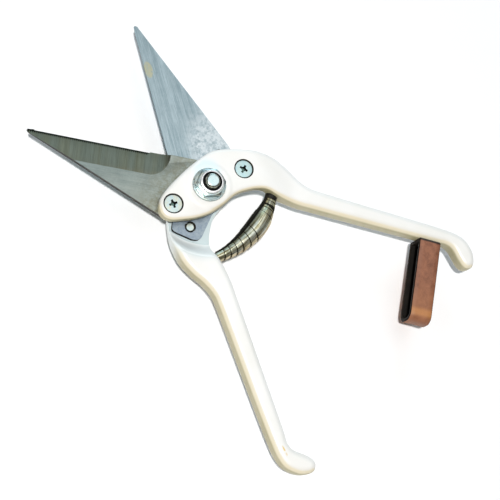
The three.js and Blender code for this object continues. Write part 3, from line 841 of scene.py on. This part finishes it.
def blade(node, body, serrated, flat, ground, wall, painted_shade):
    over = body == "rear_half"
    shape = prism_mesh(blade_outline(serrated), BLADE_FACE, BLADE_BACK)
    piece = new_piece(f"{node}_steel", shape, over, flat, wall)
    for polygon in piece.data.polygons:
        polygon.material_index = int(abs(polygon.normal.z) < 0.5)
    cut(piece, grinding(), over, ground)
    if serrated:
        # The gullets' faces take the dark wall steel, as painted shade in the notches.
        cut(piece, gullets(), over, wall)
    holes = [
        (BOLT_RADIUS + HOLE_GAP, (0, 0)),
        (SCREW_RADIUS + BLADE_HOLE_GAP, NOSE_SCREW),
        (SCREW_RADIUS + BLADE_HOLE_GAP, TAIL_SCREW),
    ]
    holes = [lathe_mesh([(0, -3), (r, -3), (r, 5), (0, 5)], 48, spot) for r, spot in holes]
    cut(piece, combined(*holes), over, painted_shade)
    finished(piece, node, body, 25)


# ---------- screws ----------
RECESS_DEPTH = 1.9
RECESS_ABOVE = 0.5
CROSS_LOW = (1.1, 0.34)  # half the length and half the width of the cross's arms
CROSS_HIGH = (2.35, 0.62)
THREAD_PITCH = 0.8
THREAD_DEPTH = 0.28


def cross_recess(spot, turn):
    """A tapered cross with a pointed core, as a driver's recess."""
    meshes = []
    for quarter in (0, math.pi / 2):
        along = Vector((math.cos(turn + quarter), math.sin(turn + quarter)))
        across = Vector((-along.y, along.x))
        points = []
        ends = ((SCREW_TOP - RECESS_DEPTH, *CROSS_LOW), (SCREW_TOP + RECESS_ABOVE, *CROSS_HIGH))
        for height, length, width in ends:
            for side_l, side_w in ((-1, -1), (1, -1), (1, 1), (-1, 1)):
                corner = Vector(spot) + along * length * side_l + across * width * side_w
                points.append((corner.x, corner.y, height + 0.004 * quarter))
        faces = [(0, 3, 2, 1), (4, 5, 6, 7), (0, 1, 5, 4), (1, 2, 6, 5), (2, 3, 7, 6), (3, 0, 4, 7)]
        meshes.append((points, faces))
    core = [(0, SCREW_TOP - 2.3), (0.9, SCREW_TOP - 1.5), (1.25, SCREW_TOP + 0.4), (0, SCREW_TOP + 0.4)]
    return meshes + [lathe_mesh(core, 24, spot)]


def screw_profile():
    rim_low = SCREW_TOP - SCREW_RIM_HEIGHT
    cone_low = rim_low - (SCREW_HEAD_RADIUS - SCREW_RADIUS)
    profile = [(0, SCREW_TIP - 0.05), (SCREW_RADIUS - 0.7, SCREW_TIP), (SCREW_RADIUS - 0.1, SCREW_TIP + 0.6)]
    height = SCREW_TIP + 0.75
    while height + THREAD_PITCH < cone_low:
        profile += [(SCREW_RADIUS, height), (SCREW_RADIUS - THREAD_DEPTH, height + THREAD_PITCH / 2)]
        height += THREAD_PITCH
    profile += [(SCREW_RADIUS, cone_low), (SCREW_HEAD_RADIUS - 0.05, rim_low)]
    profile += [(SCREW_HEAD_RADIUS, rim_low + 0.1), (SCREW_HEAD_RADIUS - 0.02, SCREW_TOP - 0.12)]
    profile += [(SCREW_HEAD_RADIUS - 0.14, SCREW_TOP - 0.03), (SCREW_HEAD_RADIUS - 0.5, SCREW_TOP)]
    return profile + [(0, SCREW_TOP + 0.03)]


def screw(side, place, spot, turn, material, painted_shade):
    over = side == "rear"
    shape = lathe_mesh(screw_profile(), 64, spot)
    piece = new_piece(f"{side}_{place}_screw_plated", shape, over, material)
    for recess in cross_recess(spot, turn):
        cut(piece, recess, over, painted_shade)
    finished(piece, f"{side}_{place}_screw", f"{side}_half")


# ---------- pivot ----------
NUT_TURN = 0.21  # the nut stands turned by this from the bolt's head
NUT_SHOULDER = NUT_LOW + 2.8
NUT_BORE = 4.12
COLLAR_RADIUS = 5.85
POCKET_RADIUS = 4.82
POCKET_DEPTH = 1.6
INSERT_RADIUS = 4.8
INSERT_TOP = NUT_TOP + 0.1
CHAMFER_HEIGHT = 0.75
WASHER_BORE = 4.3
ROUND_STEPS = 98


def hexagon(low, high, turn):
    corner = HEX_FLATS / math.sqrt(3)
    turns = [turn + math.pi / 3 * k for k in range(6)]
    return prism_mesh([(corner * math.cos(t), corner * math.sin(t)) for t in turns], low, high)


def corner_cone(low, high, chamfer_top):
    """A round body that takes the hexagon's corners off at its top or its base."""
    wide, narrow = HEX_FLATS / math.sqrt(3) + 0.2, HEX_FLATS / 2 - 0.15
    base = [(wide, low)] if chamfer_top else [(narrow, low), (wide, low + CHAMFER_HEIGHT)]
    top = [(wide, high - CHAMFER_HEIGHT), (narrow, high)] if chamfer_top else [(wide, high)]
    return lathe_mesh([(0, low)] + base + top + [(0, high)], 100)


def lock_nut(material, bright):
    shape = hexagon(NUT_LOW, NUT_SHOULDER, math.pi / 6 - NUT_TURN)
    piece = new_piece("lock_nut_plated", shape, False, material)
    cut(piece, corner_cone(NUT_LOW, NUT_SHOULDER, True), False, material, "INTERSECT")
    collar = [(0, NUT_LOW + 1), (COLLAR_RADIUS, NUT_LOW + 1), (COLLAR_RADIUS, NUT_TOP - 0.7)]
    collar += [(5.78, NUT_TOP - 0.35), (5.6, NUT_TOP - 0.1), (5.35, NUT_TOP), (0, NUT_TOP)]
    cut(piece, lathe_mesh(collar, ROUND_STEPS), False, bright, "UNION")
    pocket_low = NUT_TOP - POCKET_DEPTH
    bore = [(0, NUT_LOW - 1), (NUT_BORE, NUT_LOW - 1), (NUT_BORE, pocket_low)]
    bore += [(POCKET_RADIUS, pocket_low), (POCKET_RADIUS, NUT_TOP + 1), (0, NUT_TOP + 1)]
    cut(piece, lathe_mesh(bore, ROUND_STEPS), False, material)
    finished(piece, "lock_nut", "front_half")


def lock_nut_insert(material):
    low = INSERT_TOP - 1.4
    loop = [(4.03, low), (INSERT_RADIUS, low), (INSERT_RADIUS, INSERT_TOP - 0.3)]
    loop += [(INSERT_RADIUS - 0.08, INSERT_TOP - 0.08), (4.5, INSERT_TOP), (3.95, INSERT_TOP)]
    piece = new_piece("lock_nut_insert_nylon", tube_mesh(loop, 72), False, material)
    finished(piece, "lock_nut_insert", "front_half")


def pivot_washer(side, material):
    """A pressed washer: rounded on the outside, with a shallow step round the nut."""
    top_steps = [(0.0, 0.65), (0.2, 0.4), (0.75, 0.3), (0.95, 0.05), (1.2, 0.0)]
    loop = [(WASHER_BORE, WASHER_LOW), (WASHER_RADIUS - 0.25, WASHER_LOW), (WASHER_RADIUS, WASHER_LOW + 0.25)]
    loop += [(WASHER_RADIUS - inward, WASHER_TOP - down) for inward, down in top_steps]
    loop += [(WASHER_BORE + 0.2, WASHER_TOP), (WASHER_BORE, WASHER_TOP - 0.2)]
    piece = new_piece(f"{side}_pivot_washer_plated", tube_mesh(loop, 96), side == "rear", material)
    finished(piece, f"{side}_pivot_washer", "front_half")


def pivot_bolt(material, end):
    base = -NUT_LOW
    piece = new_piece("pivot_bolt_plated", hexagon(BOLT_HEAD_LOW, base, math.pi / 6), False, material)
    cut(piece, corner_cone(BOLT_HEAD_LOW, base, False), False, material, "INTERSECT")
    shank = [(0, base - 1), (BOLT_RADIUS, base - 1), (BOLT_RADIUS, NUT_TOP - 0.4), (3.86, NUT_TOP)]
    shank += [(3.7, NUT_TOP + 0.6), (3.45, BOLT_END - 0.6), (3.15, BOLT_END - 0.2)]
    shank += [(2.8, BOLT_END - 0.03), (2.5, BOLT_END), (0, BOLT_END)]
    cut(piece, lathe_mesh(shank, ROUND_STEPS), False, end, "UNION")
    finished(piece, "pivot_bolt", "front_half")


# ---------- spring ----------
PEG_X, PEG_Y = 20.5, -26.6
SPRING_SAG = 4.2
ARC_RADIUS = (PEG_X**2 + SPRING_SAG**2) / (2 * SPRING_SAG)
ARC_CENTRE_Y = PEG_Y - SPRING_SAG + ARC_RADIUS
STRIP_THICKNESS = 0.34
EDGE_EASE = 0.04
# The coiled strip, turn by turn from the rear peg: its low and high edge along the arc, its radius,
# and how far it follows the spring's barrel shape across its width.
TURNS = [
    (-24.5, -18.0, 2.75, 0.1),
    (-19.3, -15.2, 3.05, 0.1),
    (-16.0, -11.8, 3.45, 0.1),
    (-12.6, -8.5, 3.9, 0.1),
    (-9.3, -4.4, 4.35, 0.1),
    (-5.2, 0.0, 4.85, 0.1),
    (-0.9, 9.6, 5.4, 0.8),
    (4.0, 13.4, 5.0, 0.9),
    (9.0, 15.8, 4.4, 0.9),
    (13.4, 18.0, 3.85, 0.6),
    (16.3, 19.5, 3.4, 0.4),
    (18.2, 20.9, 3.0, 0.2),
]
STEPS_PER_TURN = 44
CLOSED_FOLLOW = 0.65  # the same on the side towards the pivot, where the turns lie close together


def barrel(place):
    """The spring's overall radius at a place along its arc."""
    places = (-21, -16, -12, -8, -4, 0, 4, 8, 12, 16, 20)
    radii = (2.7, 3.3, 3.8, 4.35, 4.85, 5.2, 5.4, 5.3, 4.8, 3.9, 2.9)
    return float(np.interp(place, places, radii))


def on_arc(place, radius, turn):
    lean = place / ARC_RADIUS
    outward = Vector((-math.sin(lean), math.cos(lean), 0))
    centre = Vector((ARC_RADIUS * math.sin(lean), ARC_CENTRE_Y - ARC_RADIUS * math.cos(lean), 0))
    return centre + outward * radius * math.cos(turn) + Vector((0, 0, 1)) * radius * math.sin(turn)


def strip_mesh():
    """The strip's points and faces, with each point's place round the coil and its distance from cover."""
    rail = curve_through(TURNS, STEPS_PER_TURN)
    across = (-1, -0.93, -0.6, -0.2, 0.2, 0.6, 0.93, 1)
    layers = [(share, 0.0) for share in across] + [(share, STRIP_THICKNESS) for share in across[::-1]]
    points, wrap, flank, clear = [], [], [], []
    for index, (low, high, radius, follow) in enumerate(rail):
        turn = math.pi - 2 * math.pi * index / STEPS_PER_TURN
        place, half = (low + high) / 2, (high - low) / 2
        above = rail[min(index + STEPS_PER_TURN, len(rail) - 1)]
        below = rail[max(index - STEPS_PER_TURN, 0)]
        for share, inward in layers:
            spot = place + share * half
            cone = follow + max(0.0, CLOSED_FOLLOW - follow) * max(0.0, math.cos(turn))
            bulge = cone * (barrel(spot) - barrel(place))
            eased = EDGE_EASE if abs(share) == 1 and inward == 0 else 0.0
            points.append(tuple(on_arc(spot, radius + bulge - inward - eased, turn)))
            wrap.append((spot + 0.6 * radius, 5 * math.cos(turn), 5 * math.sin(turn)))
            flank.append(math.cos(turn))
            if above[2] > radius:
                clear.append(above[0] - spot)
            elif below[2] > radius:
                clear.append(spot - below[1])
            else:
                clear.append(1.0)
    count = len(layers)
    faces = grid_faces(len(rail), count, closed_columns=True)
    faces += [tuple(range(count)), tuple(range(len(points) - 1, len(points) - count - 1, -1))]
    return points, faces, {"wrap": wrap, "flank": flank, "clear": clear}


def volute_spring(material):
    points, faces, values = strip_mesh()
    piece = new_piece("volute_spring_strip", (points, faces), False, material)
    for name, value in values.items():
        kind, field = ("FLOAT_VECTOR", "vector") if name == "wrap" else ("FLOAT", "value")
        piece.data.attributes.new(name, kind, "POINT").data.foreach_set(field, np.ravel(value))
    smooth(piece, 40)
    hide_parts("volute_spring")
    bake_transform(piece)


def spring_peg(side, flange, reach, material):
    """A boss that fills the spring's end, with a nose inside the coil, painted near-black as the shade in the
    seat.
    """
    lean = math.asin(PEG_X / ARC_RADIUS)
    outward = Vector((-math.cos(lean), -math.sin(lean), 0))
    beside = Vector((outward.y, -outward.x, 0))
    stem = [(0, -5), (1.6, -5), (1.6, -2.2)]
    boss = [(flange, -2.2), (flange, reach - 0.4), (flange - 0.2, reach - 0.1), (flange - 0.8, reach)]
    nose = [(1.5, reach + 0.3), (1.5, reach + 2), (1.0, reach + 2.6), (0, reach + 2.6)]
    points, faces = lathe_mesh(stem + boss + nose, 40)
    origin = Vector((PEG_X, PEG_Y, 0))
    placed = [tuple(origin + outward * z + beside * x + Vector((0, 0, y))) for x, y, z in points]
    piece = new_piece(f"{side}_spring_peg_black", (placed, faces), side == "rear", material)
    finished(piece, f"{side}_spring_peg", f"{side}_half")


# ---------- strap ----------
WALL_X, WALL_Y = 0.867, 0.498
WALL_NORMAL = Vector((WALL_X, WALL_Y)).normalized()
WALL_OFFSET = 3.6
STRAP_ROOT_Y = -100.3
STRAP_LENGTH = 43.3
STRAP_DEPTH = 12.5
STRAP_WIDTH = 11.4
LEATHER = 1.8
LEATHER_EASE = 0.28
STRAP_GAP = 0.25
STRAP_SLACK = 0.2
STRAP_OUT = Vector((-WALL_NORMAL.x, -WALL_NORMAL.y, 0))
STRAP_ALONG = Vector((-STRAP_OUT.y, STRAP_OUT.x, 0))
STRAP_ROOT = Vector(((WALL_OFFSET - WALL_Y * STRAP_ROOT_Y) / WALL_X, STRAP_ROOT_Y, 0))


def strap_point(out, along, height):
    return STRAP_ROOT + STRAP_OUT * out + STRAP_ALONG * along + Vector((0, 0, height))


def rounded_loop(near, far, half, near_round, far_round, steps):
    """(out, height) pairs round a rectangle with round corners, from the middle of its near side."""
    pairs = [(near, -half * share) for share in np.linspace(0, 1 - near_round / half, 4)]
    low, high = near + near_round, far - far_round
    corners = [(low, -half + near_round, near_round, math.pi, 1.5 * math.pi)]
    corners += [(high, -half + far_round, far_round, 1.5 * math.pi, 2 * math.pi)]
    corners += [(high, half - far_round, far_round, 0, 0.5 * math.pi)]
    corners += [(low, half - near_round, near_round, 0.5 * math.pi, math.pi)]
    for index, (out, height, radius, start, end) in enumerate(corners):
        angles = np.linspace(start, end, 9)
        pairs += [(out + radius * math.cos(a), height + radius * math.sin(a)) for a in angles]
        if index in (0, 2):
            start_out, level = pairs[-1]
            run = corners[index + 1][0] - start_out
            pairs += [(start_out + run * share, level) for share in np.linspace(0, 1, steps + 1)[1:-1]]
    pairs += [(near, half * share) for share in np.linspace(1 - near_round / half, 0, 4)[1:-1]]
    return pairs


def strap_mesh():
    """The leather loop, its cut edges eased and its free end a little slack."""
    near, far, depth = STRAP_GAP, STRAP_LENGTH + STRAP_SLACK, STRAP_DEPTH / 2
    outer = rounded_loop(near, far, depth, 1.2, 4.6, 26)
    inner = rounded_loop(near + LEATHER, far - LEATHER, depth - LEATHER, 0.5, 2.9, 26)
    half = STRAP_WIDTH / 2
    ease = LEATHER_EASE
    section = [(0, -half + ease), (0, -half * 0.5), (0, 0), (0, half * 0.5), (0, half - ease)]
    section += [(ease / LEATHER, half), (1 - ease / LEATHER, half), (1, half - ease)]
    section += [(1, half * 0.5), (1, 0), (1, -half * 0.5), (1, -half + ease)]
    section += [(1 - ease / LEATHER, -half), (ease / LEATHER, -half)]
    points = []
    for (out_o, height_o), (out_i, height_i) in zip(outer, inner):
        slack = smoothstep(out_o, 6, STRAP_LENGTH)
        for share, along in section:
            out = out_o + (out_i - out_o) * share
            height = height_o + (height_i - height_o) * share
            wave = 0.12 * math.sin(out * 0.33) * slack
            skew = 0.35 * slack * along / half
            points.append(tuple(strap_point(out + skew * 0.4, along, height + wave + 0.25 * skew)))
    return points, grid_faces(len(outer), len(section), closed_rows=True, closed_columns=True)


def leather_strap(outside, edge, inside):
    piece = new_piece("leather_strap_loop", strap_mesh(), False, outside, edge, inside)
    centre = np.array(spot_of(strap_point(STRAP_LENGTH / 2, 0, 0)))
    out = np.array(STRAP_OUT)
    along = np.array(STRAP_ALONG)
    for polygon in piece.data.polygons:
        spot = (np.array(polygon.center) - centre) / MM
        reach, height, side = abs(spot @ out), abs(spot[2]), abs(spot @ along)
        if side > STRAP_WIDTH / 2 - 0.3:
            polygon.material_index = 1
        elif height < STRAP_DEPTH / 2 - LEATHER + 0.35 and reach < STRAP_LENGTH / 2 - LEATHER + 0.35:
            polygon.material_index = 2
    smooth(piece, 60)
    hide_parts("leather_strap")
    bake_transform(piece)


def strap_rivet(material):
    seat = STRAP_GAP + LEATHER + 0.02
    profile = [(0, -3.8), (1.25, -3.8), (1.25, seat), (2.5, seat), (2.6, seat + 0.2)]
    profile += [(2.3, seat + 0.75), (1.5, seat + 1.1), (0, seat + 1.2)]
    points, faces = lathe_mesh(profile, 36)
    placed = [tuple(strap_point(z, x, y)) for x, y, z in points]
    piece = new_piece("strap_rivet_copper", (placed, faces), False, material)
    finished(piece, "strap_rivet", "front_half")


# ---------- studio ----------
FLOOR_HALF = 3.0
FLOOR_DROP = 0.00002


def floor():
    mesh = bpy.data.meshes.new("floor")
    corners = ((-1, -1), (1, -1), (1, 1), (-1, 1))
    mesh.from_pydata([(x * FLOOR_HALF, y * FLOOR_HALF, 0) for x, y in corners], [], [(0, 1, 2, 3)])
    piece = bpy.data.objects.new("floor", mesh)
    piece.location.z = CAD_BOX[0][2] - FLOOR_DROP
    SCENE.collection.objects.link(piece)
    m = Nodes("floor_white")
    white = m.ramp(m.noise(3, 2), (0.3, (0.93, 0.93, 0.93)), (0.7, (0.95, 0.95, 0.95)))
    m.set(Base_Color=white, Roughness=0.9, Specular_IOR_Level=0.1)
    piece.data.materials.append(m.material)


def soft_light(name, place, aim, size, power, colour=(1, 1, 1)):
    light = bpy.data.lights.new(name, "AREA")
    light.shape = "DISK"
    light.size = size
    light.energy = power
    light.color = colour
    lamp = bpy.data.objects.new(name, light)
    lamp.location = place
    lamp.rotation_euler = (Vector(aim) - Vector(place)).to_track_quat("-Z", "Y").to_euler()
    SCENE.collection.objects.link(lamp)


def studio():
    floor()
    aim = (0, -0.02, 0)
    soft_light("key", (-0.395, 0.055, 1.36), aim, 0.08, 17.6, (1.0, 0.99, 0.98))
    soft_light("reflector", (0.57, -0.084, 1.38), aim, 1.0, 3.0)
    soft_light("warm_fill", (-0.9, -0.6, 0.3), aim, 0.5, 0.5, (1, 0.78, 0.45))
    soft_light("cool_fill", (0.9, 0.5, 0.45), aim, 0.6, 3.6, (0.60, 0.86, 1))
    world = bpy.data.worlds.new("studio")
    world.use_nodes = True
    background = world.node_tree.nodes["Background"]
    background.inputs["Color"].default_value = (1, 0.95, 0.98, 1)
    background.inputs["Strength"].default_value = 0.1
    SCENE.world = world
    SCENE.view_settings.view_transform = "Standard"


# The camera looks down from the left of the tool, with the blades towards the top left of the picture.
CAMERA_TILT = math.radians(22.57)
CAMERA_AZIMUTH = math.radians(171.55)
PICTURE_UP = math.radians(39.84)
CAMERA_PLACE = Vector((-228.5, -2.9, 538.8))
CAMERA_LENS = 86.77


def camera():
    level = math.sin(CAMERA_TILT)
    back = Vector((level * math.cos(CAMERA_AZIMUTH), level * math.sin(CAMERA_AZIMUTH), math.cos(CAMERA_TILT)))
    right = Vector((math.cos(PICTURE_UP), math.sin(PICTURE_UP), 0)).cross(back).normalized()
    up = back.cross(right)
    made = bpy.data.objects.new("camera", bpy.data.cameras.new("camera"))
    made.data.lens = CAMERA_LENS
    made.data.sensor_width = 36
    made.data.clip_start = 0.01
    turn = Matrix((right, up, back)).transposed().to_4x4()
    made.matrix_world = Matrix.Translation(CAMERA_PLACE * MM + PIVOT) @ turn
    SCENE.collection.objects.link(made)
    SCENE.camera = made


# ---------- the whole tool ----------
def build():
    # Near-black painted shade for the bores and the blades' holes.
    painted_shade = shade_black("gap_shade")
    wall = blade_wall("blade_wall_steel")
    sunk = countersink_wall("countersink_metal", HEAD_TOP)
    # The front enamel gets a painted bluish shade round the nut.
    nut_side = spot_of((4.5, 5.0, HEAD_TOP))
    handle("front", enamel("front_enamel", nut_side, 0.0085, 0.0045, (0.72, 0.84, 0.87)), painted_shade, sunk)
    stains = [
        (spot_of((70.7, -108.3, -4.9), True), -0.36, 0.0019, 0.0006, 0.9),
        (spot_of((71.7, -110.8, -4.9), True), -0.36, 0.0013, 0.0005, 0.5),
    ]
    # The rear enamel gets a painted bluish shade in the recess under the blade's tail.
    under_tail = spot_of((17.0, -10.0, 4.0), True)
    rear_coat = enamel("rear_enamel", under_tail, 0.0215, 0.0140, (0.54, 0.66, 0.68), stains)
    handle("rear", rear_coat, painted_shade, sunk)
    flat = flat_steel("serrated_flat_steel", -EDGE_TURN)
    toothed = toothed_steel("serrated_ground_steel", -EDGE_TURN)
    blade("serrated_blade", "front_half", True, flat, toothed, wall, painted_shade)
    tan_mark = spot_of((*on_edge(60.2, 1.9), BLADE_FACE), True)
    plain = stained_steel("plain_steel", EDGE_TURN, tan_mark)
    blade("plain_blade", "rear_half", False, plain, plain, wall, painted_shade)
    pale, teal = zinc("zinc_pale", 0.3), zinc("zinc_teal", 0.7)
    # Near-black painted shade in the rear screws' recesses.
    recess = shade_black("recess_shade")
    screw("front", "nose", NOSE_SCREW, 1.11, pale, recess_black("nose_recess_shade", NOSE_SCREW))
    screw("front", "tail", TAIL_SCREW, 0.25, teal, recess_black("tail_recess_shade", TAIL_SCREW))
    screw("rear", "nose", NOSE_SCREW, 0.3, pale, recess)
    screw("rear", "tail", TAIL_SCREW, 0.9, pale, recess)
    plated = zinc("zinc_plate", 0.35)
    pivot_bolt(plated, bolt_end("zinc_bolt_end"))
    pivot_washer("front", plated)
    pivot_washer("rear", plated)
    # The collar takes a brighter zinc: a painted highlight.
    lock_nut(plated, highlit_zinc("zinc_collar"))
    lock_nut_insert(black_nylon("nylon_black"))
    volute_spring(spring_strip("spring_steel"))
    # The pegs' near-black is painted shade in the spring's seats.
    black = black_steel("black_steel")
    spring_peg("front", 3.1, 1.4, black)
    spring_peg("rear", 2.3, 0.9, black)
    # The cut edges are near-black: painted shade.
    edge = leather("leather_edge", (0.005, 0.004, 0.0035), (0.020, 0.013, 0.009), (0.09, 0.04, 0.02), 0.25)
    edge.set(Specular_IOR_Level=0.08)
    # The loop's inside is near-black: painted shade inside the loop.
    dark, light, crease = (0.004, 0.0035, 0.003), (0.011, 0.009, 0.007), (0.05, 0.035, 0.02)
    inside = leather("leather_inside", dark, light, crease, 0.12)
    inside.set(Specular_IOR_Level=0.08)
    leather_strap(strap_leather("leather_outside"), edge.material, inside.material)
    strap_rivet(copper("copper"))


camera()
build()
studio()
